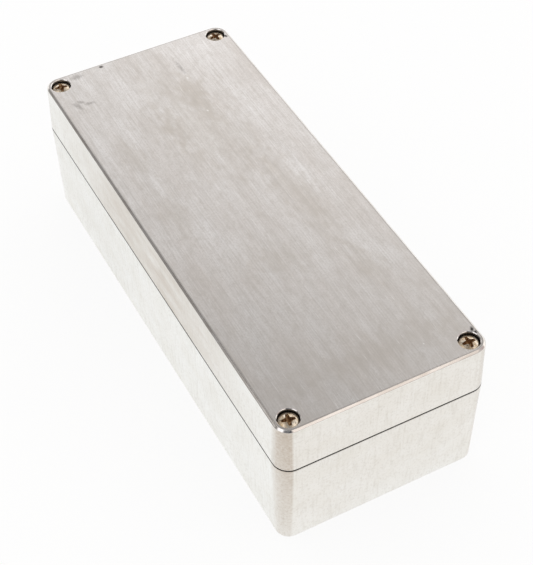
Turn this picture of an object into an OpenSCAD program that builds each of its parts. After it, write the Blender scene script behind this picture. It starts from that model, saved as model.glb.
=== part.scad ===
// Die cast aluminium box. A deep base and a lid meet at a sealed parting plane: a tongue
// on the base presses a gasket loop into a groove in the lid. The seal steps inside the
// four corner posts, so the lid screws and the wall fixing holes stay outside it.
// Millimetres. X runs along the box, Y across it, Z up. The origin is the middle of the
// underside. The front is the -Y side and the right is the +X end.

/* [Castings] */
// Length at the parting plane
box_l = 200; // [170:1:260]
// Width at the parting plane
box_w = 80; // [76:1:160]
// Height of the base, from the underside to its rim
base_h = 39.6; // [30:0.1:70]
// Height of the lid, from its rim to its face
lid_h = 20.15; // [18.5:0.05:30]
// Gap that shows between the two rims
seam_gap = 0.25; // [0.1:0.05:0.5]
// Corner radius at the parting plane
corner_r = 6; // [5:0.5:8]
// Draft of every cast wall, in degrees
draft = 1.4; // [0.8:0.1:1.8]
// Wall of the base at its rim
base_wall = 4; // [3.6:0.1:4.6]
// Wall of the lid at its rim
lid_wall = 5; // [4.4:0.1:5.6]
// Floor of the base
floor_t = 3.5; // [2.5:0.1:5]
// Face plate of the lid
lid_plate = 3.5; // [2.5:0.1:5]
// Fillet where the walls meet the floor, and where they meet the lid's plate
cavity_fillet = 1.5; // [0.5:0.1:1.8]
// Chamfer round the lid's face
face_chamfer = 0.7; // [0.3:0.1:1.2]
// Chamfer round the underside
foot_chamfer = 0.5; // [0.2:0.1:1.2]

/* [Seal] */
// Centre line of the seal, in from the outline of the box
seal_inset = 2.5; // [2.3:0.1:2.8]
// Distance that the seal keeps from the axes of the corner posts
post_clear = 5.8; // [5.5:0.1:7]
// Radius at which the seal turns in round a post
seal_bend = 5; // [4.5:0.1:5.4]
// Width of the groove in the lid
groove_w = 2.2; // [1.8:0.1:2.5]
// Depth of the groove in the lid
groove_depth = 2.8; // [2.4:0.1:4]
// Width of the tongue at its root
tongue_w = 1.4; // [0.9:0.1:1.5]
// Height of the tongue above the base's rim
tongue_h = 1.25; // [0.8:0.05:1.6]
// Taper of each flank of the tongue, in degrees
tongue_taper = 4; // [1:1:8]
// Room on each side of the gasket in its groove
gasket_room = 0.1; // [0.05:0.05:0.3]

/* [Corner posts] */
// Axis of a lid screw, in from both sides of the box
screw_inset = 6; // [5.8:0.1:7]
// Distance from a lid screw to the wall fixing hole beside it
fixing_pitch = 8; // [7.9:0.1:12]
// Wall fixing hole, for an M4 screw
fixing_hole_d = 4.5; // [4.2:0.1:5.2]
// Well above a wall fixing hole, for the head of its screw
fixing_well_d = 7.5; // [7:0.1:7.6]
// Height of the seat in the well above the underside
fixing_seat_h = 5.5; // [4:0.5:12]
// Pad on which the lid bears, round each lid screw
pad_d = 8.4; // [7.4:0.1:8.5]
// Blind core in the lid above each wall fixing hole
lid_core_d = 6.5; // [5:0.1:7]
// Depth of the blind core
lid_core_depth = 12; // [6:0.5:14]

/* [Lid screws] */
// Nominal thread
thread_d = 4; // [3.5:0.1:4.2]
// Play between the screw and its tapped hole, on each side
thread_play = 0.05; // [0.03:0.01:0.1]
// Length of thread engaged below the base's rim
engagement = 8.5; // [6:0.1:12]
// Room under the screw's tip in the blind hole
tip_room = 5; // [1:0.5:10]
// Chamfer on the screw's tip
tip_chamfer = 0.6; // [0.2:0.1:1]
// Diameter of the head
head_d = 7; // [6.4:0.1:7.2]
// Height of the head's rim above its seat
head_rim_h = 1.9; // [1.4:0.1:2.4]
// Height of the domed crown above the rim
head_crown_h = 1; // [0.4:0.1:1.2]
// Play of the head in its counterbore, on each side
head_play = 0.3; // [0.2:0.05:0.4]
// Depth of the counterbore below the lid's face
head_sink = 3.4; // [3:0.1:5]
// Edge chamfer of the counterbore
sink_chamfer = 0.2; // [0.1:0.05:0.4]
// Play of the shank in the lid's web, on each side
shank_play = 0.25; // [0.15:0.05:0.4]
// Web of the lid under a screw's head
web_t = 3.5; // [2.5:0.1:4.5]
// Span of the cross recess
cross_span = 5; // [3.6:0.1:5.2]
// Width of a wing of the cross recess
cross_w = 1; // [0.7:0.1:1.3]
// Depth of the cross recess below the crown
cross_depth = 1.8; // [1:0.1:2.1]
// Angle at which the front left screw's cross stops
turn_front_left = 84; // [0:1:89]
// Angle at which the front right screw's cross stops
turn_front_right = 78; // [0:1:89]
// Angle at which the rear left screw's cross stops
turn_rear_left = 11; // [0:1:89]
// Angle at which the rear right screw's cross stops
turn_rear_right = 87; // [0:1:89]

/* [Screw retainers] */
// Outer diameter of the nylon ring that keeps a screw in the lid
retainer_d = 6; // [5.6:0.1:6.2]
// Thickness of the ring
retainer_t = 1.5; // [1:0.1:2.2]
// Height of the ring above the lid's rim with the screw home
retainer_rise = 0.45; // [0.2:0.05:1]
// Play of the ring in its bore, on each side
retainer_play = 0.2; // [0.1:0.05:0.3]
// Chamfer of the ring's edges
retainer_chamfer = 0.2; // [0.1:0.05:0.4]

/* [Inside the base] */
// Floor bosses, in from the ends of the box
boss_inset_x = 22; // [20:0.5:40]
// Floor bosses, in from the sides of the box
boss_inset_y = 15; // [12:0.5:24]
// Diameter of a floor boss
boss_d = 8; // [6:0.1:10]
// Height of a floor boss above the floor
boss_h = 6; // [3:0.5:15]
// Tapping hole in a floor boss, for an M4 screw
boss_hole_d = 3.3; // [2.5:0.1:3.6]
// Floor left under the tapping hole
boss_hole_floor = 2; // [1:0.1:3]
// Spacing of the board slots along the long walls
slot_pitch = 30; // [12:1:60]
// Width of a board slot
slot_w = 2; // [1.4:0.1:3]
// Thickness of the ribs that form a slot
rib_t = 1.5; // [1:0.1:2.5]
// Reach of a rib from the wall at the rim
rib_reach = 2.2; // [1.6:0.1:3]
// Drop from the rim to the top of the ribs
rib_drop = 6; // [3:0.5:15]
// Room kept between a floor boss and the last slot
slot_end_room = 6; // [3:0.5:15]

/* [Hidden] */
$fn = 48;

// Cutters reach this far past the face that they open
over = 1;
lean = tan(draft);

lid_z = base_h + seam_gap;
box_h = lid_z + lid_h;
seat_z = box_h - head_sink;
screw_x = box_l / 2 - screw_inset;
screw_y = box_w / 2 - screw_inset;
fixing_y = screw_y - fixing_pitch;

// The seal's line in one quarter of the plan: in from the long side, down beside the post
// and out again to the end wall. The bend round the post takes up what the others leave.
seal_x = box_l / 2 - seal_inset;
seal_y = box_w / 2 - seal_inset;
post_x = screw_x - post_clear;
post_y = fixing_y - post_clear;
post_bend = seal_x - post_x - seal_bend;
side_bend_at = [post_x - seal_bend, seal_y - seal_bend];
post_bend_at = [post_x + post_bend, post_y + post_bend];
end_bend_at = [seal_x - seal_bend, post_y - seal_bend];

thread_core_d = thread_d - 2 * thread_play;
shank_hole_d = thread_d + 2 * shank_play;
sink_d = head_d + 2 * head_play;
retainer_bore_d = retainer_d + 2 * retainer_play;
tapped_bottom = base_h - engagement - tip_room;
gasket_t = groove_depth + seam_gap - tongue_h;
boss_x = box_l / 2 - boss_inset_x;
boss_y = box_w / 2 - boss_inset_y;
slots_each_way = floor((boss_x - boss_d / 2 - slot_end_room) / slot_pitch);

module in_quarters() {
    for (mx = [0, 1], my = [0, 1]) mirror([mx, 0, 0]) mirror([0, my, 0]) children();
}

// A block whose side section is turned round four corners at (+-at.x, +-at.y). The child
// is that section: x outwards from the corner's centre, y up, from low to high.
module turned_block(at, low, high) {
    translate([-at.x, -at.y, low]) cube([2 * at.x, 2 * at.y, high - low]);
    for (s = [0, 180]) {
        rotate(s) translate([at.x, at.y, 0]) rotate([90, 0, 0])
            linear_extrude(2 * at.y) children();
        rotate(s) translate([-at.x, at.y, 0]) rotate([90, 0, 90])
            linear_extrude(2 * at.x) children();
    }
    for (q = [0 : 3]) {
        sx = [1, -1, -1, 1][q];
        sy = [1, 1, -1, -1][q];
        translate([sx * at.x, sy * at.y, 0]) rotate(90 * q) rotate_extrude(angle = 90) children();
    }
}

// Carries a section along the seal's line, x outwards from it and y up, all the way but for
// the bends round the posts.
module along_walls() {
    for (s = [0, 180]) {
        rotate(s) translate([seal_x, end_bend_at.y, 0]) rotate([90, 0, 0])
            linear_extrude(2 * end_bend_at.y) children();
        rotate(s) translate([-side_bend_at.x, seal_y, 0]) rotate([90, 0, 90])
            linear_extrude(2 * side_bend_at.x) children();
    }
    in_quarters() {
        translate(side_bend_at) rotate_extrude(angle = 90) translate([seal_bend, 0]) children();
        translate([post_x, side_bend_at.y, 0]) rotate([90, 0, 0])
            linear_extrude(side_bend_at.y - post_bend_at.y) children();
        translate(end_bend_at) rotate_extrude(angle = 90) translate([seal_bend, 0]) children();
    }
}

module along_seal() {
    along_walls() children();
    in_quarters() translate(post_bend_at) rotate(180) rotate_extrude(angle = 90)
        translate([post_bend, 0]) mirror([1, 0]) children();
}

// Section of the air beside a cavity's wall: the wall stands at x = 0 at the mouth, y = 0,
// leans in by the draft, and meets the bottom, y = -depth, in a fillet.
module air_section(reach, depth) {
    round_at = [-(depth - cavity_fillet) * lean - cavity_fillet / cos(draft), cavity_fillet - depth];
    foot = [-depth * lean, -depth];
    on_wall = round_at + cavity_fillet * [cos(draft), -sin(draft)];
    difference() {
        polygon([[-reach, over], [0, over], [0, 0], foot, [-reach, -depth]]);
        difference() {
            polygon([round_at, [round_at.x, -depth - over], foot + [over, -over], foot + [over, 0], on_wall]);
            translate(round_at) circle(cavity_fillet);
        }
    }
}

// The air of a casting, below a mouth at z = 0. It follows the seal's line, with its wall
// wall_in inside that line, so it goes round the posts as the seal does. Its parts meet
// face to face: a strip along the walls, three blocks, and a corner piece at each post.
module cavity(wall_in, depth) {
    reach = seal_bend - wall_in;
    high = depth + over;
    out = post_bend_at - [side_bend_at.x, end_bend_at.y];
    along_walls() translate([-wall_in, 0]) air_section(reach, depth);
    translate([-side_bend_at.x, -side_bend_at.y, -depth])
        cube([2 * side_bend_at.x, 2 * side_bend_at.y, high]);
    for (s = [0, 180]) rotate(s) translate([side_bend_at.x, -end_bend_at.y, -depth])
        cube([out.x, 2 * end_bend_at.y, high]);
    in_quarters() intersection() {
        translate([side_bend_at.x, end_bend_at.y, -depth]) cube([out.x, out.y, high]);
        translate(post_bend_at) rotate_extrude() translate([post_bend + wall_in, 0])
            mirror([1, 0]) air_section(norm(out), depth);
    }
}

module base_section() {
    polygon([
        [0, 0],
        [corner_r - base_h * lean - foot_chamfer, 0],
        [corner_r - (base_h - foot_chamfer) * lean, foot_chamfer],
        [corner_r, base_h],
        [0, base_h],
    ]);
}

module lid_section() {
    polygon([
        [0, 0],
        [corner_r, 0],
        [corner_r - (lid_h - face_chamfer) * lean, lid_h - face_chamfer],
        [corner_r - lid_h * lean - face_chamfer, lid_h],
        [0, lid_h],
    ]);
}

module tongue_section() {
    half = tongue_w / 2;
    top = half - tongue_h * tan(tongue_taper);
    polygon([[-half, -over], [half, -over], [half, 0], [top, tongue_h], [-top, tongue_h], [-half, 0]]);
}

module gasket_section() {
    width = groove_w - 2 * gasket_room;
    translate([-width / 2, groove_depth - gasket_t]) square([width, gasket_t]);
}

module board_slots() {
    wall_y = box_w / 2 - base_wall;
    for (i = [-slots_each_way : slots_each_way], side = [0, 180], s = [-1, 1])
        rotate(side) translate([i * slot_pitch + s * (slot_w + rib_t) / 2 - rib_t / 2, 0, 0])
            rotate([90, 0, 90]) linear_extrude(rib_t) polygon([
                [wall_y + over, floor_t - over],
                [wall_y - rib_reach - (base_h - floor_t) * lean, floor_t - over],
                [wall_y - rib_reach - (base_h - floor_t) * lean, floor_t],
                [wall_y - rib_reach, base_h - rib_drop - rib_reach],
                [wall_y, base_h - rib_drop],
                [wall_y + over, base_h - rib_drop],
            ]);
}

module base() {
    color("#d9d8d6") difference() {
        union() {
            difference() {
                turned_block([box_l / 2 - corner_r, box_w / 2 - corner_r], 0, base_h) base_section();
                translate([0, 0, base_h]) cavity(base_wall - seal_inset, base_h - floor_t);
            }
            board_slots();
            translate([0, 0, base_h]) along_seal() tongue_section();
            in_quarters() {
                translate([boss_x, boss_y, floor_t - over]) cylinder(d = boss_d, h = boss_h + over);
                translate([screw_x, screw_y, base_h - over]) cylinder(d = pad_d, h = over + seam_gap);
            }
        }
        in_quarters() {
            translate([screw_x, screw_y, tapped_bottom]) cylinder(d = thread_d, h = box_h);
            translate([screw_x, fixing_y, -over]) cylinder(d = fixing_hole_d, h = box_h);
            translate([screw_x, fixing_y, fixing_seat_h]) cylinder(d = fixing_well_d, h = box_h);
            translate([boss_x, boss_y, boss_hole_floor]) cylinder(d = boss_hole_d, h = box_h);
        }
    }
}

module lid() {
    color("#b9b6b4") difference() {
        translate([0, 0, lid_z])
            turned_block([box_l / 2 - corner_r, box_w / 2 - corner_r], 0, lid_h) lid_section();
        translate([0, 0, lid_z]) rotate([180, 0, 0]) cavity(lid_wall - seal_inset, lid_h - lid_plate);
        translate([0, 0, lid_z]) along_seal()
            translate([-groove_w / 2, -over]) square([groove_w, groove_depth + over]);
        in_quarters() {
            translate([screw_x, screw_y, lid_z - over]) cylinder(d = shank_hole_d, h = lid_h + 2 * over);
            translate([screw_x, screw_y, lid_z - over])
                cylinder(d = retainer_bore_d, h = seat_z - web_t - lid_z + over);
            translate([screw_x, screw_y, seat_z]) cylinder(d = sink_d, h = head_sink + over);
            translate([screw_x, screw_y, box_h - sink_chamfer])
                cylinder(d1 = sink_d, d2 = sink_d + 2 * (sink_chamfer + over), h = sink_chamfer + over);
            translate([screw_x, fixing_y, lid_z - over])
                cylinder(d = lid_core_d, h = lid_core_depth + over);
        }
    }
}

module gasket() {
    color("#2b2b2c") translate([0, 0, lid_z]) along_seal() gasket_section();
}

// A raised cheese head screw with a cross recess, its seat at z = 0 and its axis on Z.
module lid_screw() {
    length = seat_z - base_h + engagement;
    crown_r = (pow(head_d / 2, 2) + pow(head_crown_h, 2)) / (2 * head_crown_h);
    head_h = head_rim_h + head_crown_h;
    color("#c9b98a") difference() {
        union() {
            intersection() {
                cylinder(d = head_d, h = head_h + over);
                translate([0, 0, head_h - crown_r]) sphere(r = crown_r);
            }
            translate([0, 0, tip_chamfer - length]) cylinder(d = thread_core_d, h = length - tip_chamfer + over);
            translate([0, 0, -length])
                cylinder(d1 = thread_core_d - 2 * tip_chamfer, d2 = thread_core_d, h = tip_chamfer);
        }
        translate([0, 0, head_h - cross_depth]) for (a = [0, 90]) rotate(a)
            translate([-cross_span / 2, -cross_w / 2, 0]) cube([cross_span, cross_w, cross_depth + over]);
    }
}

module retainer() {
    low = retainer_rise;
    color("#e8e6de") rotate_extrude() polygon([
        [thread_d / 2, low],
        [retainer_d / 2 - retainer_chamfer, low],
        [retainer_d / 2, low + retainer_chamfer],
        [retainer_d / 2, low + retainer_t - retainer_chamfer],
        [retainer_d / 2 - retainer_chamfer, low + retainer_t],
        [thread_d / 2, low + retainer_t],
    ]);
}

module screw_at(sx, sy, turn) {
    translate([sx * screw_x, sy * screw_y, seat_z]) rotate(turn) lid_screw();
}

module retainer_at(sx, sy) {
    translate([sx * screw_x, sy * screw_y, lid_z]) retainer();
}

base();
lid();
gasket();
screw_at(-1, -1, turn_front_left);  // lid_screw_front_left
screw_at(1, -1, turn_front_right);  // lid_screw_front_right
screw_at(-1, 1, turn_rear_left);  // lid_screw_rear_left
screw_at(1, 1, turn_rear_right);  // lid_screw_rear_right
retainer_at(-1, -1);  // retainer_front_left
retainer_at(1, -1);  // retainer_front_right
retainer_at(-1, 1);  // retainer_rear_left
retainer_at(1, 1);  // retainer_rear_right
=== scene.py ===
# %% [markdown]
# # A die cast aluminium box
# Two aluminium castings, a base and a lid, close on a neoprene gasket and are held by four
# captive screws. The castings, the screws and their motion are already fixed in the packed
# model. This script dresses it: it softens the castings' edges, gives each face the finish
# that it got in the foundry or at the linishing belt, and adds the screws' threads and
# cross recesses. All lengths are metres, so millimetres are written as a number times MM.

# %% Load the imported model
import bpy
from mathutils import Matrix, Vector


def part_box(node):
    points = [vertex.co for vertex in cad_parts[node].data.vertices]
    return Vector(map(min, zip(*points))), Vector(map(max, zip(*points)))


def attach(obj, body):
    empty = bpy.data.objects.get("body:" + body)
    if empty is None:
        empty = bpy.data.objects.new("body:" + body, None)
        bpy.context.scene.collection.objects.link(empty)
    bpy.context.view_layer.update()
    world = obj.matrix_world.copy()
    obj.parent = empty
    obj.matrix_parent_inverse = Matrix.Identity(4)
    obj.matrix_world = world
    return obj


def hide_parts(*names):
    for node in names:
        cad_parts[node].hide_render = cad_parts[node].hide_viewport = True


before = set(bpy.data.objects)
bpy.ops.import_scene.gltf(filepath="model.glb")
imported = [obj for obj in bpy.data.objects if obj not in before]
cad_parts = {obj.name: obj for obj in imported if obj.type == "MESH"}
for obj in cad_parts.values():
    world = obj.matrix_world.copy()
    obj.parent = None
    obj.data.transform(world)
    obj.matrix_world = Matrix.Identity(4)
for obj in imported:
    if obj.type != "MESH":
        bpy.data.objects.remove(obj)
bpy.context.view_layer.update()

# %% [markdown]
# ## Places
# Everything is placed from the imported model's own boxes, so that the dressing stays on the
# solids. The screws give the axes at the four corners. The gasket holds the castings a
# quarter of a millimetre apart, so the base's rim lies that far below the lid's.

# %% Units and the box's own places
import math

import bmesh
import bpy
from mathutils import Euler, Matrix, Vector

MM = 0.001
SEAM_GAP = 0.25 * MM
base_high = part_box("base")[1]
lid_low, lid_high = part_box("lid")
gasket_low, gasket_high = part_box("gasket")
corners = {}
for corner in ("front_left", "front_right", "rear_left", "rear_right"):
    low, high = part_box("lid_screw_" + corner)
    corners[corner] = ((low + high) / 2).xy
RIM_Z = lid_low.z - SEAM_GAP
print("lid face at", round(lid_high.z / MM, 2), "mm, base rim at", round(RIM_Z / MM, 2), "mm")

# %% [markdown]
# Colours are written as the hex values that a painter would pick, and Blender works in
# linear light, so one function turns one into the other. A second one adds a node of any
# kind. Its settings are plain values. Its inputs are values, hex colours, sockets or whole
# nodes, and of a node it takes the first output that is in use.

# %% Helpers for colours and nodes
def linear(hex_colour):
    channels = [int(hex_colour[i:i + 2], 16) / 255 for i in (1, 3, 5)]
    return [c / 12.92 if c <= 0.04045 else ((c + 0.055) / 1.055) ** 2.4 for c in channels] + [1]


def add(tree, kind, inputs=None, **settings):
    node = tree.nodes.new(kind)
    for name, value in settings.items():
        setattr(node, name, value)
    for key, value in (inputs or {}).items():
        in_use = [socket for socket in node.inputs if socket.name == key and socket.enabled]
        socket = in_use[0] if in_use else node.inputs[key]
        if isinstance(value, bpy.types.Node):
            value = next(output for output in value.outputs if output.enabled)
        if isinstance(value, bpy.types.NodeSocket):
            tree.links.new(value, socket)
        else:
            is_hex = isinstance(value, str) and value.startswith("#")
            socket.default_value = linear(value) if is_hex else value
    return node


print("#808080 is", round(linear("#808080")[0], 3), "in linear light")

# %% [markdown]
# ## Camera
# The box is seen from above its front right corner. The view is given as where the lens is,
# which way it looks and how far it dips, because those are what one would note in a studio.

# %% Camera
VIEW_FROM = Vector((342.7, -168.3, 424.4)) * MM
VIEW_HEADING = 152.87
VIEW_DIP = 46.86
VIEW_ROLL = -1.07
camera_data = bpy.data.cameras.new("view")
camera_data.sensor_width = 36
camera_data.lens = 92.6
camera_data.clip_end = 20
camera = bpy.data.objects.new("view", camera_data)
bpy.context.scene.collection.objects.link(camera)
turn = Euler((math.radians(90 - VIEW_DIP), 0, math.radians(VIEW_HEADING - 90))).to_matrix()
roll = Matrix.Rotation(math.radians(VIEW_ROLL), 3, "Z")
camera.matrix_world = Matrix.Translation(VIEW_FROM) @ (turn @ roll).to_4x4()
bpy.context.scene.camera = camera
bpy.context.scene.view_settings.view_transform = "Standard"
print("camera distance", round(VIEW_FROM.length / MM), "mm")

# %% [markdown]
# ## Studio
# Bare metal has little colour of its own: it shows the room. The lid's face mirrors a patch
# of sky that is bright low down and darkens upwards and to the left, so the room is written
# as exactly that: a dome that fades along one direction. It could be a box of lamps, but a
# dome leaves no gaps for the metal to show.

# %% Dome
world = bpy.data.worlds.new("studio")
bpy.context.scene.world = world
world.use_nodes = True
sky = world.node_tree
sky.nodes.clear()
DARK_SIDE = Vector((0.392, -0.644, 0.657)).normalized()
direction = add(sky, "ShaderNodeTexCoord").outputs["Generated"]
facing = add(sky, "ShaderNodeVectorMath", {0: direction}, operation="NORMALIZE")
toward_dark = add(sky, "ShaderNodeVectorMath", {0: facing, 1: DARK_SIDE}, operation="DOT_PRODUCT")
fade = add(sky, "ShaderNodeMapRange", {
    "Value": toward_dark, "From Min": -0.20, "From Max": 0.20, "To Min": 1.46, "To Max": 0.28})
room_light = add(sky, "ShaderNodeVectorMath", {0: linear("#fffdfb")[:3], "Scale": fade},
                 operation="SCALE")
print("dome darkens toward", tuple(round(part, 2) for part in DARK_SIDE))

# %% [markdown]
# Cards stand in the dome, as a studio has them, for what the flat faces don't mirror. The
# pale ones light the narrow chamfers, the near corner and the screws' crowns. The pink one
# takes the glare off the short side's chamfer. The dark one shows in the middle of the near
# corner's chamfer and along the far rims of the counterbores.

# %% Cards
# Azimuth, lift, inner and outer radius in degrees, colour and strength. A card is full
# inside its inner radius and gone at its outer one.
CARDS = (
    (-72, 58, 8, 24, "#f4f4f6", 1.2),
    (18, 42, 14, 30, "#fff6ef", 1.05),
    (-148, 64, 6, 14, "#fffaf4", 1.6),
    (92, 63, 5, 13, "#fff8f0", 1.3),
    (-80, 32, 13, 21, "#fbfbff", 1.3),
    (-119, 19, 2, 8, "#fffdfb", 0.8),
    (64, 18, 9, 20, "#c9bcbb", 1.0),
    (-32, 36, 17, 26, "#3a3c45", 1.0),
)
for azimuth, lift, inner, outer, colour, strength in CARDS:
    level = math.cos(math.radians(lift))
    middle = (level * math.cos(math.radians(azimuth)), level * math.sin(math.radians(azimuth)),
              math.sin(math.radians(lift)))
    nearness = add(sky, "ShaderNodeVectorMath", {0: facing, 1: middle}, operation="DOT_PRODUCT")
    card = add(sky, "ShaderNodeMapRange", {
        "Value": nearness, "From Min": math.cos(math.radians(outer)),
        "From Max": math.cos(math.radians(inner))}, interpolation_type="SMOOTHSTEP")
    room_light = add(sky, "ShaderNodeMix", {
        "Factor": card, "A": room_light, "B": [strength * part for part in linear(colour)]},
        data_type="RGBA")
print(len(CARDS), "cards stand in the dome")

# %% [markdown]
# Only reflections see that room. Light that only fills, and so reaches the floor, the seal
# and the nylon, comes from an even white dome instead, and the camera sees the same white.

# %% World
kind_of_ray = add(sky, "ShaderNodeLightPath").outputs
room = add(sky, "ShaderNodeBackground", {"Color": room_light, "Strength": 1.0})
white = add(sky, "ShaderNodeBackground", {"Color": "#ffffff", "Strength": 1.0})
seen = add(sky, "ShaderNodeMixShader", {0: kind_of_ray["Is Glossy Ray"], 1: white, 2: room})
add(sky, "ShaderNodeOutputWorld", {0: seen})
print("world has", len(sky.nodes), "nodes")

# %% [markdown]
# The floor is a white paper sweep. It stays white to the camera and in reflections, and a
# small share of plain paper is left in it so that the box still casts its soft shadow. In
# reflections it turns slightly warm to the right, where the paper curls up by a warm wall.

# %% Floor
FLOOR_HALF = 6
WARM_FROM, WARM_TO = 85 * MM, 120 * MM
WHITE_SHARE = 0.85
floor_mesh = bpy.data.meshes.new("floor")
floor_mesh.from_pydata([(-FLOOR_HALF, -FLOOR_HALF, 0), (FLOOR_HALF, -FLOOR_HALF, 0),
                        (FLOOR_HALF, FLOOR_HALF, 0), (-FLOOR_HALF, FLOOR_HALF, 0)],
                       [], [(0, 1, 2, 3)])
floor = bpy.data.objects.new("floor", floor_mesh)
bpy.context.scene.collection.objects.link(floor)
sweep = bpy.data.materials.new("white paper sweep")
sweep.use_nodes = True
paper_tree = sweep.node_tree
paper_tree.nodes.clear()
paper = add(paper_tree, "ShaderNodeBsdfDiffuse", {"Color": "#f8f7f6"})
rays = add(paper_tree, "ShaderNodeLightPath").outputs
mirrored = add(paper_tree, "ShaderNodeMath", {
    0: rays["Is Glossy Ray"], 1: rays["Is Transmission Ray"]}, operation="MAXIMUM")
spot = add(paper_tree, "ShaderNodeSeparateXYZ", {
    0: add(paper_tree, "ShaderNodeTexCoord").outputs["Object"]}).outputs
to_right = add(paper_tree, "ShaderNodeMapRange", {
    "Value": spot["X"], "From Min": WARM_FROM, "From Max": WARM_TO})
warmth = add(paper_tree, "ShaderNodeMix", {"Factor": to_right, "A": "#fffffe", "B": "#f3efea"},
             data_type="RGBA")
tone = add(paper_tree, "ShaderNodeMix", {"Factor": mirrored, "A": "#ffffff", "B": warmth},
           data_type="RGBA")
glow = add(paper_tree, "ShaderNodeEmission", {"Color": tone, "Strength": 1.0})
shown = add(paper_tree, "ShaderNodeMath", {0: mirrored, 1: rays["Is Camera Ray"]},
            operation="MAXIMUM")
share = add(paper_tree, "ShaderNodeMath", {0: shown, 1: WHITE_SHARE}, operation="MULTIPLY")
surface = add(paper_tree, "ShaderNodeMixShader", {0: share, 1: paper, 2: glow})
add(paper_tree, "ShaderNodeOutputMaterial", {0: surface})
floor_mesh.materials.append(sweep)
print("floor is", 2 * FLOOR_HALF, "m across")

# %% [markdown]
# One large soft lamp in front of the box gives its shadow a direction. It stands where the
# lid's face can't mirror it, and it is weak, so that the chamfers hardly show it.

# %% Lamp
lamp_data = bpy.data.lights.new("soft lamp", "AREA")
lamp_data.shape = "DISK"
lamp_data.size = 2.0
lamp_data.energy = 1.5
lamp = bpy.data.objects.new("soft lamp", lamp_data)
lamp_place = Vector((0.55, -0.95, 1.2))
lamp.matrix_world = (Matrix.Translation(lamp_place)
                     @ (-lamp_place).to_track_quat("-Z", "Y").to_matrix().to_4x4())
bpy.context.scene.collection.objects.link(lamp)
print("lamp at", round(lamp_place.length, 2), "m")

# %% [markdown]
# ## Metals
# All the castings are one alloy, so their finishes differ only in how the surface was
# worked: cast and tumbled outside, linished on the lid's face, cut in the bores and left as
# cast inside. Each is a metal with Blender's default IOR, and the work shows in its colour,
# roughness and relief.
#
# A finish is painted in layers, as a sign writer would: a ground, and over it one colour
# after another, each only where some pattern or place allows it. So the helpers below are
# the steps of that work. One starts a material, one makes noise of a size in millimetres,
# one lays a colour where several things hold at once, and one ends the material.

# %% Steps of a finish
def start(name):
    """An empty material, its tree, and the place on the piece in metres."""
    material = bpy.data.materials.new(name)
    material.use_nodes = True
    material.node_tree.nodes.clear()
    place = add(material.node_tree, "ShaderNodeTexCoord").outputs["Object"]
    return material, material.node_tree, place


def grain(tree, place, size_mm, detail=2.0, rough=0.5, offset=0.0):
    """Noise about 0.5, whose cells are size_mm = (x, y, z) millimetres across."""
    in_cells = add(tree, "ShaderNodeMapping", {
        0: place, "Location": (offset, offset, offset), "Scale": [1 / (s * MM) for s in size_mm]})
    return add(tree, "ShaderNodeTexNoise", {
        "Vector": in_cells, "Scale": 1.0, "Detail": detail, "Roughness": rough})


def layer(tree, ground, over, *ramps):
    """One colour laid over another, as far as all the ramps hold.

    A ramp is a value, where it starts and where it ends, and then, unless it runs from 0 to
    1, what it runs from and to.
    """
    share = None
    for value, begin, end, *levels in ramps:
        first, last = levels or (0.0, 1.0)
        ramp = add(tree, "ShaderNodeMapRange", {
            "Value": value, "From Min": begin, "From Max": end, "To Min": first, "To Max": last})
        share = ramp if share is None else add(
            tree, "ShaderNodeMath", {0: share, 1: ramp}, operation="MULTIPLY")
    return add(tree, "ShaderNodeMix", {"Factor": share, "A": ground, "B": over},
               data_type="RGBA")


def coat(tree, colour, roughness, height, depth_mm, metallic=1.0, clouds=None):
    """The shader that ends a material, with a relief depth_mm deep from a height pattern.

    Its roughness is one number, or two that it runs between as the clouds come and go.
    """
    if clouds:
        first, last = roughness
        roughness = add(tree, "ShaderNodeMapRange", {
            "Value": clouds, "From Min": 0.3, "From Max": 0.7, "To Min": first, "To Max": last})
    bump = add(tree, "ShaderNodeBump", {"Height": height, "Distance": depth_mm * MM})
    shader = add(tree, "ShaderNodeBsdfPrincipled", {
        "Base Color": colour, "Metallic": metallic, "Roughness": roughness, "Normal": bump})
    add(tree, "ShaderNodeOutputMaterial", {0: shader})


print("a cell of 0.5 mm is", round(1 / (0.5 * MM)), "to the metre")
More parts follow.
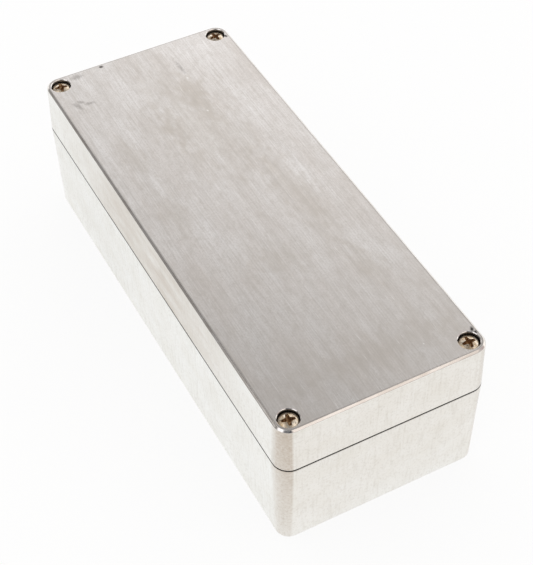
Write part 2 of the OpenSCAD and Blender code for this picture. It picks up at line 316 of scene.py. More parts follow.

# %% [markdown]
# The outside of a tumbled casting is nearly white and matt. Look closely and it has a fine
# orange peel from the stones, about half a millimetre across, and faint upright drag lines
# from the die. The upright corners are speckled with wear and also carry painted shade:
# they are coloured darker and warmer, more so higher up, so most of all on the lid, and
# on the front right corner.
# The lid's front side carries a beige cast of release oil, and painted shade darkens the
# metal along the joint.

# %% Finish: tumbled casting
def tumbled_casting():
    material, tree, place = start("tumbled die cast aluminium")
    spot = add(tree, "ShaderNodeSeparateXYZ", {0: place}).outputs
    fold = add(tree, "ShaderNodeSeparateXYZ", {
        0: add(tree, "ShaderNodeVectorMath", {0: place}, operation="ABSOLUTE")}).outputs
    drag = grain(tree, place, (1.2, 1.2, 10), 3, 0.6)
    cloud = grain(tree, place, (14, 14, 10), 4, 0.6)
    speck = grain(tree, place, (0.9, 0.9, 0.9), 3, 0.6)
    streak = grain(tree, place, (22, 22, 5), 5, 0.7)
    colour = layer(tree, "#fafaf8", "#f6f5f1", (cloud, 0.35, 0.7))
    colour = layer(tree, colour, "#dbd8d1", (drag, 0.5, 0.8, 0, 0.45))
    colour = layer(tree, colour, "#d3cfc8", (speck, 0.5, 0.8, 0, 0.5))
    # release oil on the lid's front side
    colour = layer(tree, colour, "#cfc5ba",
                   (spot["X"], -85 * MM, -20 * MM), (spot["X"], 85 * MM, 20 * MM),
                   (spot["Y"], -38.5 * MM, -39 * MM), (spot["Z"], lid_low.z - 0.2 * MM, lid_low.z),
                   (streak, 0.3, 0.7, 0.25, 0.85))
    # painted shade: a darker band along the joint, just above and below the gap
    above_joint = add(tree, "ShaderNodeMath", {0: spot["Z"], 1: RIM_Z - 0.1 * MM},
                      operation="SUBTRACT")
    from_joint = add(tree, "ShaderNodeMath", {0: above_joint}, operation="ABSOLUTE")
    colour = layer(tree, colour, "#8d8680", (from_joint, 0.8 * MM, 0.3 * MM, 0, 0.3))
    # speckled wear and painted shade on the upright corners, strongest on the front right one
    to_front_right = add(tree, "ShaderNodeMath", {0: spot["X"], 1: spot["Y"]},
                         operation="SUBTRACT")
    colour = layer(tree, colour, "#cbbfb2",
                   (fold["X"], 92.5 * MM, 96 * MM), (fold["Y"], 35 * MM, 35.8 * MM),
                   (to_front_right, 50 * MM, 120 * MM, 0.15, 1.0),
                   (spot["Z"], 0.0, 58 * MM, 0.3, 1.0), (speck, 0.3, 0.75, 0.55, 1.0))
    coat(tree, colour, (0.38, 0.46), grain(tree, place, (0.55, 0.55, 0.55), 3), 0.03,
         clouds=cloud)
    return material


TUMBLED_METAL = tumbled_casting()
print(TUMBLED_METAL.name, "has", len(TUMBLED_METAL.node_tree.nodes), "nodes")

# %% [markdown]
# The lid's face was run lengthwise under an abrasive belt. The belt leaves fine parallel
# lines, drawn here half a millimetre apart because the true ones, a tenth of that, are too
# fine to show. Coarser streaks lie where it was pressed harder, and slow pinkish clouds
# where it skidded. Handling adds the smudges, pits and hazes in these lists, and the glints
# are painted highlights. Each mark is an oval whose outline is roughened with noise, which
# takes fewer nodes than a drawn shape and looks less drawn.

# %% Marks on the lid's face
# x, y, angle, length and width of each mark, in millimetres and degrees
SMUDGES = ((-79.2, -33.0, 20, 6.5, 2.4), (-78.6, -28.2, 75, 5.0, 2.2),
           (-80.8, -31.0, 60, 4.0, 2.0), (-96.0, -26.6, 0, 3.6, 5.5),
           (-81.5, 12.4, 2, 11.0, 1.6))
PITS = ((-97.3, -15.4, 80, 2.2, 1.8), (-91.2, 37.5, 20, 2.0, 1.6),
        (90.3, 37.5, -20, 2.6, 1.6), (92.0, 37.8, -30, 2.2, 1.4))
HAZES = ((-42.0, -26.5, 1, 28.6, 9.1), (-7.0, -26.0, 1, 33.8, 10.4),
         (4.0, 18.5, 4, 59.8, 15.6), (48.0, 23.0, 0, 23.4, 11.7),
         (-49.0, -5.0, 0, 23.4, 10.4), (-62.0, 10.0, 2, 36.4, 10.4),
         (31.0, -3.5, 60, 23.4, 15.6), (84.0, 6.0, 90, 91.0, 15.6),
         (-48.0, 3.0, 0, 83.2, 33.8))
# painted highlights: small white spots laid on the face
GLINTS = ((-74.5, 11.9, 0, 1.6, 0.8), (-52.7, 10.2, 0, 1.2, 0.8), (88.0, 20.0, 0, 1.0, 0.7))
# A mark fades in from just outside its outline to well inside it
FADE_IN = (1.1, 0.3)


def from_mark(tree, place, mark, ragged=1.4, lump=0.7):
    """Distance from a mark's middle, 1 on its outline, ragged in lumps of so many millimetres."""
    x, y, angle, length, width = mark
    local = add(tree, "ShaderNodeMapping", {
        0: place, "Location": (x * MM, y * MM, 0), "Rotation": (0, 0, math.radians(angle)),
        "Scale": (length * MM / 2, width * MM / 2, 1)}, vector_type="TEXTURE")
    flat = add(tree, "ShaderNodeVectorMath", {0: local, 1: (1, 1, 0)}, operation="MULTIPLY")
    far = add(tree, "ShaderNodeVectorMath", {0: flat}, operation="LENGTH")
    noise = add(tree, "ShaderNodeMath", {
        0: grain(tree, place, (1.6 * lump, lump, lump), 4), 1: 0.5}, operation="SUBTRACT")
    return add(tree, "ShaderNodeMath", {0: noise, 1: ragged, 2: far}, operation="MULTIPLY_ADD")


print(len(SMUDGES + PITS + HAZES + GLINTS), "marks on the lid's face")

# %% [markdown]
# The face's own edge is painted a little darker, as painted shade where the belt turned it
# over. To find it, and later the painted shade in the joint, the box is folded along its
# middle planes, so that one corner stands for all four, and the distance is taken from a
# rectangle inside the outline.

# %% Distance from the middle of the box
CORE_X, CORE_Y = base_high.x - 6.9 * MM, base_high.y - 6.9 * MM


def from_core(tree, place):
    """How far a point lies outside the core rectangle, in plan."""
    fold = add(tree, "ShaderNodeVectorMath", {0: place}, operation="ABSOLUTE")
    # a metre is taken off the height, so that it never counts as outside
    past = add(tree, "ShaderNodeVectorMath", {0: fold, 1: (CORE_X, CORE_Y, 1)},
               operation="SUBTRACT")
    outside = add(tree, "ShaderNodeVectorMath", {0: past, 1: (0, 0, 0)}, operation="MAXIMUM")
    return add(tree, "ShaderNodeVectorMath", {0: outside}, operation="LENGTH")


print("core rectangle", round(CORE_X / MM, 1), "by", round(CORE_Y / MM, 1), "mm from the middle")

# %% Finish: linished face
def linished_face():
    material, tree, place = start("linished aluminium")
    lines = grain(tree, place, (16, 0.5, 4), 2, 0.6)
    streaks = grain(tree, place, (60, 2.2, 4), 3, 0.6, 3.1)
    clouds = grain(tree, place, (30, 10, 20), 3, 0.55, 7.7)
    dust = grain(tree, place, (0.8, 0.7, 0.8), 3)
    mottle = grain(tree, place, (4.0, 2.6, 4.0), 4, 0.65, 5.2)
    scratch = grain(tree, place, (6, 0.35, 4), 1, 0.5, 11.3)
    coarse = add(tree, "ShaderNodeMath", {0: streaks, 1: 0.35}, operation="MULTIPLY")
    belt = add(tree, "ShaderNodeMath", {0: lines, 1: 0.65, 2: coarse}, operation="MULTIPLY_ADD")
    colour = layer(tree, "#eeecec", "#dfdad7", (clouds, 0.3, 0.7))
    for mark in HAZES:
        haze = from_mark(tree, place, mark, ragged=2.6, lump=3.0)
        colour = layer(tree, colour, "#c0b7ab", (haze, *FADE_IN, 0, 0.3))
    colour = layer(tree, colour, "#c0bbb6", (belt, 0.62, 0.36, 0, 0.5))
    colour = layer(tree, colour, "#c4bfba", (dust, 0.45, 0.75, 0, 0.5))
    colour = layer(tree, colour, "#bfb9b2", (mottle, 0.45, 0.75, 0, 0.4))
    # painted shade: the face is coloured darker towards its right-hand end
    to_right = add(tree, "ShaderNodeSeparateXYZ", {0: place}).outputs["X"]
    colour = layer(tree, colour, "#bcb7b2", (to_right, 10 * MM, 80 * MM, 0, 0.3))
    # painted shade: a darker band along the face's rolled edge, inside the chamfer
    colour = layer(tree, colour, "#8b8683", (from_core(tree, place), 5.1 * MM, 5.5 * MM, 0, 0.5))
    colour = layer(tree, colour, "#fbfafa", (scratch, 0.70, 0.82, 0, 0.6))
    for mark in SMUDGES:
        colour = layer(tree, colour, "#77706b", (from_mark(tree, place, mark), *FADE_IN, 0, 0.42))
    for mark in PITS:
        pit = from_mark(tree, place, mark, ragged=0.8)
        colour = layer(tree, colour, "#2e2a28", (pit, *FADE_IN, 0, 0.95))
    # painted highlights, laid last over everything else
    for mark in GLINTS:
        colour = layer(tree, colour, "#ffffff", (from_mark(tree, place, mark), *FADE_IN, 0, 0.55))
    coat(tree, colour, (0.30, 0.36), belt, 0.008, clouds=clouds)
    return material


LINISHED_METAL = linished_face()
print(LINISHED_METAL.name, "has", len(LINISHED_METAL.node_tree.nodes), "nodes")

# %% [markdown]
# The chamfers were touched with the same belt and are the brightest metal on the box: smooth
# enough to mirror the cards, with faint wear. The counterbores were cut with a piloted tool
# after casting. Their walls keep its rings. They are coloured darker than the metal, as
# painted shade inside the bore, and darker still from just below the mouth down.

# %% Finishes: edges and bores
def polished_edge():
    material, tree, place = start("belt polished edge")
    wear = grain(tree, place, (6, 6, 1.5), 2)
    coat(tree, layer(tree, "#f1eeeb", "#dcd6d0", (wear, 0.35, 0.7)), 0.16,
         grain(tree, place, (5, 5, 0.3), 2), 0.01)
    return material


def bored_hole():
    material, tree, place = start("bored aluminium with painted shade")
    rings = grain(tree, place, (8, 8, 0.3), 2)
    patches = add(tree, "ShaderNodeMath", {0: grain(tree, place, (1.5, 1.5, 1.5), 3), 1: 0.5},
                  operation="SUBTRACT")
    up = add(tree, "ShaderNodeSeparateXYZ", {0: place}).outputs["Z"]
    height = add(tree, "ShaderNodeMath", {0: patches, 1: 1.2 * MM, 2: up},
                 operation="MULTIPLY_ADD")
    # painted shade: the ringed wall is coloured darker than bare metal
    ringed_shaded_wall = layer(tree, "#8f8b87", "#a8a49f", (rings, 0.3, 0.7))
    # painted shade: darker still from just below the mouth downwards, with a ragged edge
    deeper_painted_shade = layer(tree, ringed_shaded_wall, "#4b4845", (height, lid_high.z - 0.3 * MM, lid_high.z - 1.1 * MM))
    coat(tree, deeper_painted_shade, 0.42, rings, 0.02)
    return material


EDGE_METAL, BORED_METAL = polished_edge(), bored_hole()
print("made:", EDGE_METAL.name, "and", BORED_METAL.name)

# %% [markdown]
# The faces that meet at the joint were milled flat and are bright inside the seal. Their
# outermost half millimetre is coloured near black, as painted shade in the narrow gap, so
# the closed joint shows as a dark line.
# The inside is left as the die gave it: dull, greyer, with slow swirls where the metal
# flowed and chilled.

# %% Finishes: joint and inside
def parting_face():
    material, tree, place = start("parting face")
    colour = layer(tree, "#d4d2cf", "#bcb9b5", (grain(tree, place, (3, 3, 3), 3), 0.3, 0.7))
    # painted shade: the parting faces' outer edge, inside the gap, is coloured near black
    colour = layer(tree, colour, "#2a2624", (from_core(tree, place), 5.5 * MM, 6.0 * MM))
    coat(tree, colour, 0.38, grain(tree, place, (0.5, 0.5, 0.5), 2), 0.02)
    return material


def as_cast_inside():
    material, tree, place = start("as cast aluminium")
    swirl = grain(tree, place, (18, 18, 18), 4, 0.65)
    coat(tree, layer(tree, "#dad9d7", "#b5b3b0", (swirl, 0.35, 0.7)), (0.42, 0.6),
         grain(tree, place, (0.8, 0.8, 0.8), 3), 0.05, clouds=swirl)
    return material


FINISHES = (TUMBLED_METAL, LINISHED_METAL, EDGE_METAL, BORED_METAL, parting_face(),
            as_cast_inside())
TUMBLED, LINISHED, EDGE, BORED, PARTING, INSIDE = range(len(FINISHES))
print("finishes:", [finish.name for finish in FINISHES])

# %% [markdown]
# ## Castings
# Each face of a casting gets the finish of the operation that made it, told by where the
# face is and which way it looks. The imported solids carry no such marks, and painting them by
# hand would be lost at the next change of size, so these few measures say it instead.

# %% Where things are on a casting
CORNER_R = 6 * MM
SINK_R = 3.8 * MM
JOINT_ROUND = 0.2 * MM
FACE_ROUND = 0.08 * MM
NEAR = 0.05 * MM
CHAMFER_LOW = lid_high.z - 0.85 * MM
SINK_CHAMFER_LOW = lid_high.z - 0.21 * MM
FOOT_TOP = 0.6 * MM
RIM_SKIN, WALL_SKIN = 0.5 * MM, 1.6 * MM


def outside_by(point):
    """Distance outside the box's plan outline, negative inside it."""
    out_x = abs(point.x) - (base_high.x - CORNER_R)
    out_y = abs(point.y) - (base_high.y - CORNER_R)
    if min(out_x, out_y) > 0:
        return math.hypot(out_x, out_y) - CORNER_R
    return max(out_x, out_y) - CORNER_R


def from_screw(point):
    return min((point.xy - axis).length for axis in corners.values())


def finish_of(centre, normal):
    if normal.z > 0.99 and centre.z > lid_high.z - NEAR:
        return LINISHED
    if from_screw(centre) < SINK_R + 0.25 * MM and centre.z > lid_low.z + 0.1 * MM:
        return EDGE if centre.z > SINK_CHAMFER_LOW else BORED
    if abs(normal.z) > 0.9 and RIM_Z - NEAR < centre.z < lid_low.z + NEAR:
        return PARTING
    if (RIM_Z - JOINT_ROUND < centre.z < lid_low.z + JOINT_ROUND
            and outside_by(centre) > -RIM_SKIN):
        return PARTING
    if outside_by(centre) > -WALL_SKIN:
        return EDGE if centre.z > CHAMFER_LOW else TUMBLED
    return TUMBLED if centre.z < FOOT_TOP else INSIDE


print("chamfer starts at", round(CHAMFER_LOW / MM, 2), "mm")

# %% [markdown]
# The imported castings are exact, but they are loose triangles with knife edges. A copy is
# welded and its flat faces are joined. The edges at the joint are then rounded by the fifth
# of a millimetre that tumbling leaves, and those of the lid's face by less, because the belt
# came last. A bevel modifier would round every edge alike, so the edges are picked here.

# %% Weld, round and shade
def welded(node):
    piece = bpy.data.objects.new(node + "_casting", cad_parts[node].data.copy())
    bpy.context.scene.collection.objects.link(piece)
    mesh = bmesh.new()
    mesh.from_mesh(piece.data)
    bmesh.ops.remove_doubles(mesh, verts=mesh.verts, dist=0.001 * MM)
    bmesh.ops.dissolve_limit(mesh, angle_limit=math.radians(0.2), verts=mesh.verts,
                             edges=mesh.edges)
    return piece, mesh


def round_edges(mesh, chosen, radius):
    """Round the sharp edges whose ends are both chosen, and say how many they were."""
    edges = [edge for edge in mesh.edges if all(chosen(vert.co) for vert in edge.verts)
             and abs(edge.calc_face_angle(0)) > math.radians(20)]
    bmesh.ops.bevel(mesh, geom=edges, offset=radius, offset_type="OFFSET", segments=3,
                    profile=0.5, affect="EDGES", clamp_overlap=True)
    return len(edges)


def is_narrow(face):
    """True for the strips that make up a curve, and false for a true flat."""
    return face.calc_area() / max(edge.calc_length() for edge in face.edges) < 3 * MM


def shade(mesh):
    for face in mesh.faces:
        face.smooth = True
    for edge in mesh.edges:
        edge.smooth = (len(edge.link_faces) == 2
                       and edge.calc_face_angle(0) < math.radians(30)
                       and all(is_narrow(face) for face in edge.link_faces))


print("edges are rounded by", round(JOINT_ROUND / MM, 2), "and", round(FACE_ROUND / MM, 2), "mm")

# %% Dress the castings
def is_face_edge(point):
    return (point.z > lid_high.z - 1 * MM and outside_by(point) > -2.2 * MM
            and from_screw(point) > SINK_R + 0.3 * MM)


def is_joint_edge(point):
    return RIM_Z - NEAR < point.z < lid_low.z + NEAR and outside_by(point) > -0.2 * MM


def finish_casting(node, body):
    piece, mesh = welded(node)
    rounded = round_edges(mesh, is_face_edge, FACE_ROUND)
    rounded += round_edges(mesh, is_joint_edge, JOINT_ROUND)
    mesh.normal_update()
    shade(mesh)
    for face in mesh.faces:
        face.material_index = finish_of(face.calc_center_median(), face.normal)
    # the slots come before the faces, because clearing them resets every face to slot 0
    piece.data.materials.clear()
    for finish in FINISHES:
        piece.data.materials.append(finish)
    mesh.to_mesh(piece.data)
    mesh.free()
    print(node, "has", len(piece.data.polygons), "faces,", rounded, "edges rounded")
    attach(piece, body)
    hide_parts(node)


finish_casting("base", "base")
finish_casting("lid", "lid")

# %% [markdown]
# ## Helpers for pieces made by rule
# Threads and the seal follow a rule, so Geometry Nodes build them. Each tree has named
# inputs, which are set on the modifier by their identifiers, and its result is turned into
# a plain mesh before the piece is handed over.

# %% Run a geometry tree
def new_tree(name, sizes):
    """A geometry tree with these named inputs, and the sockets that give them inside it."""
    tree = bpy.data.node_groups.new(name, "GeometryNodeTree")
    for size, kind in sizes.items():
        tree.interface.new_socket(size, in_out="INPUT", socket_type=kind)
    tree.interface.new_socket("Geometry", in_out="OUTPUT", socket_type="NodeSocketGeometry")
    return tree, tree.nodes.new("NodeGroupInput").outputs


def end_tree(tree, geometry, material):
    real = add(tree, "GeometryNodeRealizeInstances", {0: geometry})
    dressed = add(tree, "GeometryNodeSetMaterial", {"Geometry": real, "Material": material})
    add(tree, "NodeGroupOutput", {0: dressed})
    print(tree.name, "tree has", len(tree.nodes), "nodes")


def evaluated_mesh(thing):
    graph = bpy.context.evaluated_depsgraph_get()
    return bpy.data.meshes.new_from_object(thing.evaluated_get(graph))


def grown_mesh(tree, values):
    """The plain mesh that a tree makes with these named values."""
    holder = bpy.data.objects.new("growing", bpy.data.meshes.new("seed"))
    bpy.context.scene.collection.objects.link(holder)
    modifier = holder.modifiers.new("grow", "NODES")
    modifier.node_group = tree
    for socket in tree.interface.items_tree:
        if socket.name in values and socket.in_out == "INPUT":
            modifier[socket.identifier] = values[socket.name]
    mesh = evaluated_mesh(holder)
    bpy.data.objects.remove(holder)
    return mesh


def piece_from(name, mesh, body, node):
    piece = bpy.data.objects.new(name, mesh)
    bpy.context.scene.collection.objects.link(piece)
    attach(piece, body)
    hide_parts(node)


print("geometry trees before the screws and the seal:", len(bpy.data.node_groups))

# %% [markdown]
# ## Screws
# The lid screws are steel, zinc plated and yellow passivated, which gives a pale brass with
# pink and green hints. They have been driven often: the plating is rubbed bright on the
# crown, and brown dirt is packed into the cross recess, round it and round the rim.

# %% Screw finishes
def yellow_zinc():
    material, tree, place = start("yellow passivated zinc on steel")
    film = grain(tree, place, (1.3, 1.3, 1.3), 3)
    fold = add(tree, "ShaderNodeVectorMath", {0: place}, operation="ABSOLUTE")
    off_axis = add(tree, "ShaderNodeVectorMath", {0: fold, 1: (*corners["rear_right"], 0)},
                   operation="SUBTRACT")
    in_plan = add(tree, "ShaderNodeVectorMath", {0: off_axis, 1: (1, 1, 0)}, operation="MULTIPLY")
    from_axis = add(tree, "ShaderNodeVectorMath", {0: in_plan}, operation="LENGTH")
    more_inside = add(tree, "ShaderNodeMapRange", {
        "Value": from_axis, "From Min": 3.2 * MM, "From Max": 1.2 * MM, "To Max": 0.11})
    dirt = add(tree, "ShaderNodeMath", {
        0: grain(tree, place, (0.8, 0.8, 0.8), 3, 0.6, 4.4), 1: more_inside}, operation="ADD")
    colour = layer(tree, "#efe5d6", "#cdb798", (film, 0.35, 0.68))
    colour = layer(tree, colour, "#7a6044", (dirt, 0.57, 0.70, 0, 0.7))
    coat(tree, colour, (0.2, 0.34), grain(tree, place, (0.5, 0.5, 0.5), 2), 0.02, clouds=film)
    return material


def recess_dirt():
    material, tree, place = start("zinc under packed brown dirt")
    lumps = grain(tree, place, (0.5, 0.5, 0.5), 3)
    coat(tree, layer(tree, "#714f33", "#dabb93", (lumps, 0.35, 0.65)), 0.5, lumps, 0.05)
    return material


SCREW_FINISHES = (yellow_zinc(), recess_dirt())
ZINC, DIRT = SCREW_FINISHES
print("screw finishes:", [finish.name for finish in SCREW_FINISHES])

# %% [markdown]
# A screw's head is a turned blank with a cross punched into it. The blank is spun from its
# half profile, the punch is one tapered block with twelve sides, and a boolean takes the
# punch's shape out of the blank. The punch's own material lines the recess.

# %% Turned blank
HEAD_R, RIM_H, CROWN_H = 3.5 * MM, 2.25 * MM, 0.65 * MM
SHANK_R = 1.95 * MM
CROWN_STEPS = 8


def head_profile():
    """Half the outline of the head: a cheese head with broken edges under a low crown."""
    ball = (HEAD_R ** 2 + CROWN_H ** 2) / (2 * CROWN_H)
    top = RIM_H + CROWN_H
    points = [(0, 0), (HEAD_R - 0.15 * MM, 0), (HEAD_R - 0.04 * MM, 0.04 * MM),
              (HEAD_R, 0.15 * MM), (HEAD_R, RIM_H - 0.12 * MM),
              (HEAD_R - 0.03 * MM, RIM_H - 0.03 * MM)]
    for step in range(CROWN_STEPS + 1):
        radius = (HEAD_R - 0.12 * MM) * (1 - step / CROWN_STEPS)
        points.append((radius, top - ball + math.sqrt(ball ** 2 - radius ** 2)))
    return points


def finished_mesh(name, mesh):
    data = bpy.data.meshes.new(name)
    mesh.to_mesh(data)
    mesh.free()
    return data


def spun(name, profile, steps=56):
    mesh = bmesh.new()
    ring = [mesh.verts.new((r, 0, z)) for r, z in profile]
    line = [mesh.edges.new(pair) for pair in zip(ring, ring[1:])]
    bmesh.ops.spin(mesh, geom=ring + line, cent=(0, 0, 0), axis=(0, 0, 1), angle=2 * math.pi,
                   steps=steps)
    bmesh.ops.remove_doubles(mesh, verts=mesh.verts, dist=0.001 * MM)
    bmesh.ops.recalc_face_normals(mesh, faces=mesh.faces)
    return finished_mesh(name, mesh)


blank = bpy.data.objects.new("blank", spun("blank", head_profile()))
print("blank is", round(2 * HEAD_R / MM, 1), "mm across")

# %% Punch
# Height, reach of a wing, half its width and where two wings meet, in millimetres
PUNCH_LEVELS = ((3.2, 2.65, 0.50, 0.84), (2.2, 2.25, 0.44, 0.70), (1.0, 1.2, 0.32, 0.44))


def cross_outline(reach, half_width, web):
    """One level of the punch: twelve points round a cross."""
    quarter = [(reach, -half_width), (reach, half_width), (web, web)]
    return [(x * math.cos(q) - y * math.sin(q), x * math.sin(q) + y * math.cos(q))
            for q in (0, math.pi / 2, math.pi, 3 * math.pi / 2) for x, y in quarter]


def punch():
    mesh = bmesh.new()
    levels = [[mesh.verts.new((x * MM, y * MM, z * MM)) for x, y in cross_outline(*sizes)]
              for z, *sizes in PUNCH_LEVELS]
    for upper, lower in zip(levels, levels[1:]):
        for i in range(len(upper)):
            mesh.faces.new((upper[i - 1], lower[i - 1], lower[i], upper[i]))
    mesh.faces.new(levels[0])
    mesh.faces.new(levels[-1])
    bmesh.ops.recalc_face_normals(mesh, faces=mesh.faces)
    for face in mesh.faces:
        face.material_index = SCREW_FINISHES.index(DIRT)
    return finished_mesh("punch", mesh)


tool = bpy.data.objects.new("tool", punch())
for thing in (blank, tool):
    for material in SCREW_FINISHES:
        thing.data.materials.append(material)
    bpy.context.scene.collection.objects.link(thing)
cut = blank.modifiers.new("punch", "BOOLEAN")
cut.operation, cut.solver, cut.object = "DIFFERENCE", "EXACT", tool
head_mesh = evaluated_mesh(blank)
bpy.data.objects.remove(blank)
bpy.data.objects.remove(tool)
print("head has", len(head_mesh.polygons), "faces")

# %% [markdown]
# The thread is the rule itself: on a finely divided cylinder, each point's radius depends
# only on how far its height and its angle have run through one pitch. It could also be a
# ridge swept along a spiral, but this way the shank stays one closed skin. The rod is made
# about its own middle and moved down last, so that its top meets the head.

# %% Screw thread: a rod and the ridges on it
PITCH = 0.7 * MM
THREAD_DEPTH = 0.38 * MM
PLAIN_LENGTH = 2.5 * MM
ROD_SIDES, ROWS_PER_TURN = 30, 7
thread_tree, sizes = new_tree("screw_thread", {
    "Length": "NodeSocketFloat", "Crest Radius": "NodeSocketFloat",
    "Root Radius": "NodeSocketFloat", "Pitch": "NodeSocketFloat",
    "Plain Length": "NodeSocketFloat", "Finish": "NodeSocketMaterial"})
turns = add(thread_tree, "ShaderNodeMath", {0: sizes["Length"], 1: sizes["Pitch"]},
            operation="DIVIDE")
rows = add(thread_tree, "ShaderNodeMath", {0: turns, 1: ROWS_PER_TURN}, operation="MULTIPLY")
whole_rows = add(thread_tree, "ShaderNodeMath", {0: rows}, operation="ROUND")
rod = add(thread_tree, "GeometryNodeMeshCylinder", {
    "Vertices": ROD_SIDES, "Side Segments": whole_rows, "Radius": sizes["Crest Radius"],
    "Depth": sizes["Length"]})
spot = add(thread_tree, "ShaderNodeSeparateXYZ", {
    0: add(thread_tree, "GeometryNodeInputPosition")}).outputs
angle = add(thread_tree, "ShaderNodeMath", {0: spot["Y"], 1: spot["X"]}, operation="ARCTAN2")
around = add(thread_tree, "ShaderNodeMath", {0: angle, 1: 2 * math.pi}, operation="DIVIDE")
risen = add(thread_tree, "ShaderNodeMath", {0: spot["Z"], 1: sizes["Pitch"]}, operation="DIVIDE")
lead = add(thread_tree, "ShaderNodeMath", {0: risen, 1: around}, operation="SUBTRACT")
phase = add(thread_tree, "ShaderNodeMath", {0: lead}, operation="FRACT")
centred = add(thread_tree, "ShaderNodeMath", {0: phase, 1: 2.0, 2: -1.0},
              operation="MULTIPLY_ADD")
groove = add(thread_tree, "ShaderNodeMath", {0: centred}, operation="ABSOLUTE")
print("a turn is", round(PITCH / MM, 2), "mm high, in", ROWS_PER_TURN, "rows")

# %% Screw thread: where it ends, and the finished shank
TIP_LENGTH, TIP_TAPER = 0.6 * MM, 0.18
half_length = add(thread_tree, "ShaderNodeMath", {0: sizes["Length"], 1: 0.5},
                  operation="MULTIPLY")
plain_from = add(thread_tree, "ShaderNodeMath", {0: half_length, 1: sizes["Plain Length"]},
                 operation="SUBTRACT")
threaded_part = add(thread_tree, "ShaderNodeMath", {0: spot["Z"], 1: plain_from},
                    operation="LESS_THAN")
slimness = add(thread_tree, "ShaderNodeMath", {0: sizes["Root Radius"], 1: sizes["Crest Radius"]},
               operation="DIVIDE")
depth = add(thread_tree, "ShaderNodeMath", {0: 1.0, 1: slimness}, operation="SUBTRACT")
cut_here = add(thread_tree, "ShaderNodeMath", {0: groove, 1: threaded_part}, operation="MULTIPLY")
cut_depth = add(thread_tree, "ShaderNodeMath", {0: cut_here, 1: depth}, operation="MULTIPLY")
from_tip = add(thread_tree, "ShaderNodeMath", {0: spot["Z"], 1: half_length}, operation="ADD")
taper = add(thread_tree, "ShaderNodeMapRange", {
    "Value": from_tip, "From Min": 0.0, "From Max": TIP_LENGTH, "To Min": TIP_TAPER, "To Max": 0.0})
shrink = add(thread_tree, "ShaderNodeMath", {0: cut_depth, 1: taper}, operation="MAXIMUM")
keep = add(thread_tree, "ShaderNodeMath", {0: 1.0, 1: shrink}, operation="SUBTRACT")
moved = add(thread_tree, "ShaderNodeCombineXYZ", {
    "X": add(thread_tree, "ShaderNodeMath", {0: spot["X"], 1: keep}, operation="MULTIPLY"),
    "Y": add(thread_tree, "ShaderNodeMath", {0: spot["Y"], 1: keep}, operation="MULTIPLY"),
    "Z": add(thread_tree, "ShaderNodeMath", {0: spot["Z"], 1: half_length}, operation="SUBTRACT")})
shank = add(thread_tree, "GeometryNodeSetPosition", {"Geometry": rod, "Position": moved})
end_tree(thread_tree, shank, sizes["Finish"])

screw_low, screw_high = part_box("lid_screw_front_right")
seat_z = screw_high.z - RIM_H - CROWN_H
shank_length = seat_z - screw_low.z
thread_mesh = grown_mesh(thread_tree, {
    "Length": shank_length, "Crest Radius": SHANK_R, "Root Radius": SHANK_R - THREAD_DEPTH,
    "Pitch": PITCH, "Plain Length": PLAIN_LENGTH, "Finish": ZINC})
print("thread has", len(thread_mesh.polygons), "faces over", round(shank_length / MM, 1), "mm")

# %% [markdown]
# Head and shank are joined into one mesh, which is turned to where the driver left it and
# set down on its seat. The place goes into the mesh and not into the object, so that
# patterns and motion both start from the box's own origin.

# %% Four screws, each stopped at its own angle
STOPS = {"front_left": 84, "front_right": 78, "rear_left": 11, "rear_right": 87}


def screw(corner):
    mesh = bmesh.new()
    mesh.from_mesh(head_mesh)
    mesh.from_mesh(thread_mesh)
    seat = Matrix.Translation((*corners[corner], seat_z))
    stop = Matrix.Rotation(math.radians(STOPS[corner]), 4, "Z")
    bmesh.ops.transform(mesh, matrix=seat @ stop, verts=mesh.verts)
    for face in mesh.faces:
        face.smooth = True
    for edge in mesh.edges:
        edge.smooth = len(edge.link_faces) == 2 and edge.calc_face_angle(0) < math.radians(35)
    name = "screw_" + corner
    data = finished_mesh(name, mesh)
    for material in SCREW_FINISHES:
        data.materials.append(material)
    piece_from(name, data, name, "lid_" + name)


for corner in corners:
    screw(corner)
print("screws stop at", STOPS)

# %% [markdown]
# ## Seal and retaining rings
# Moulded neoprene is matt, nearly black, and shows a bloom of fine dust. The rings are
# natural nylon, a warm translucent white that looks opaque at this thickness.

# %% Rubber and nylon
def moulded(name, colour, worn, roughness, grain_mm):
    material, tree, place = start(name)
    bloom = grain(tree, place, (4, 4, 4), 4, 0.6)
    coat(tree, layer(tree, colour, worn, (bloom, 0.4, 0.75)),
         (roughness - 0.08, roughness + 0.08),
         grain(tree, place, (grain_mm, grain_mm, grain_mm), 2), 0.03, metallic=0.0, clouds=bloom)
    return material


neoprene = moulded("moulded neoprene", "#262627", "#3c3b3a", 0.7, 0.4)
nylon = moulded("natural moulded nylon", "#e6e3d8", "#d8d1bd", 0.42, 0.6)
print("made:", neoprene.name, "and", nylon.name)

# %% [markdown]
# The gasket is one neoprene cord that follows the groove: a closed line that steps inside
# each corner post, with every bend filleted by its own radius, and a section swept along
# it. The line has a corner at each bend, and its radius travels with it as an attribute.

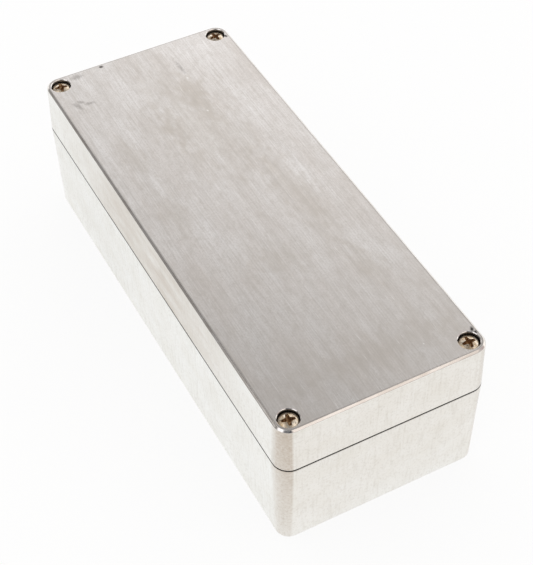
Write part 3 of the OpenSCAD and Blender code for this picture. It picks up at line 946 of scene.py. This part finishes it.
# %% Line of the seal
SEAL_X, SEAL_Y = 97.5, 37.5
POST_X, POST_Y = 88.2, 20.2
OUTER_BEND, INNER_BEND = 5.0, 4.3
QUARTER = [(SEAL_X, POST_Y, OUTER_BEND), (POST_X, POST_Y, INNER_BEND), (POST_X, SEAL_Y, OUTER_BEND)]
seal_turns = []
for side_x, side_y in ((1, 1), (-1, 1), (-1, -1), (1, -1)):
    in_order = QUARTER if side_x * side_y > 0 else QUARTER[::-1]
    seal_turns += [(side_x * x, side_y * y, bend) for x, y, bend in in_order]
seal_line = bpy.data.meshes.new("seal_line")
seal_line.from_pydata([(x * MM, y * MM, 0) for x, y, _ in seal_turns],
                      [(i, (i + 1) % len(seal_turns)) for i in range(len(seal_turns))], [])
bends = seal_line.attributes.new("bend", "FLOAT", "POINT")
for i, (_, _, bend) in enumerate(seal_turns):
    bends.data[i].value = bend * MM
path = bpy.data.objects.new("seal_path", seal_line)
bpy.context.scene.collection.objects.link(path)
print("seal has", len(seal_turns), "bends")

# %% Gasket
GASKET_WIDTH, GASKET_EDGE = 2.0 * MM, 0.35 * MM
BEND_POINTS, EDGE_POINTS = 12, 4
seal_tree, sizes = new_tree("gasket", {
    "Path": "NodeSocketObject", "Width": "NodeSocketFloat", "Thickness": "NodeSocketFloat",
    "Base Height": "NodeSocketFloat", "Finish": "NodeSocketMaterial"})
line = add(seal_tree, "GeometryNodeObjectInfo", {"Object": sizes["Path"]}).outputs["Geometry"]
curve = add(seal_tree, "GeometryNodeMeshToCurve", {"Mesh": line})
bend = add(seal_tree, "GeometryNodeInputNamedAttribute", {"Name": "bend"}, data_type="FLOAT")
filleted = add(seal_tree, "GeometryNodeFilletCurve", {
    "Curve": curve, "Radius": bend, "Count": BEND_POINTS}, mode="POLY")
upright = add(seal_tree, "GeometryNodeSetCurveNormal", {"Curve": filleted}, mode="Z_UP")
block = add(seal_tree, "GeometryNodeCurvePrimitiveQuadrilateral", {
    "Width": sizes["Width"], "Height": sizes["Thickness"]})
section = add(seal_tree, "GeometryNodeFilletCurve", {
    "Curve": block, "Radius": GASKET_EDGE, "Count": EDGE_POINTS}, mode="POLY")
cord = add(seal_tree, "GeometryNodeCurveToMesh", {"Curve": upright, "Profile Curve": section})
middle_z = add(seal_tree, "ShaderNodeMath", {
    0: sizes["Thickness"], 1: 0.5, 2: sizes["Base Height"]}, operation="MULTIPLY_ADD")
rise = add(seal_tree, "ShaderNodeCombineXYZ", {"Z": middle_z})
lifted = add(seal_tree, "GeometryNodeTransform", {"Geometry": cord, "Translation": rise})
end_tree(seal_tree, lifted, sizes["Finish"])
gasket_mesh = grown_mesh(seal_tree, {
    "Path": path, "Width": GASKET_WIDTH, "Thickness": gasket_high.z - gasket_low.z,
    "Base Height": gasket_low.z, "Finish": neoprene})
bpy.data.objects.remove(path)
piece_from("gasket_loop", gasket_mesh, "lid", "gasket")
print("gasket has", len(gasket_mesh.polygons), "faces")

# %% [markdown]
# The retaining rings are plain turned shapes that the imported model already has, so they
# only get their nylon.

# %% Retaining rings
for corner in corners:
    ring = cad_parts["retainer_" + corner]
    ring.data.materials.clear()
    ring.data.materials.append(nylon)
print(len(corners), "retaining rings in", nylon.name)
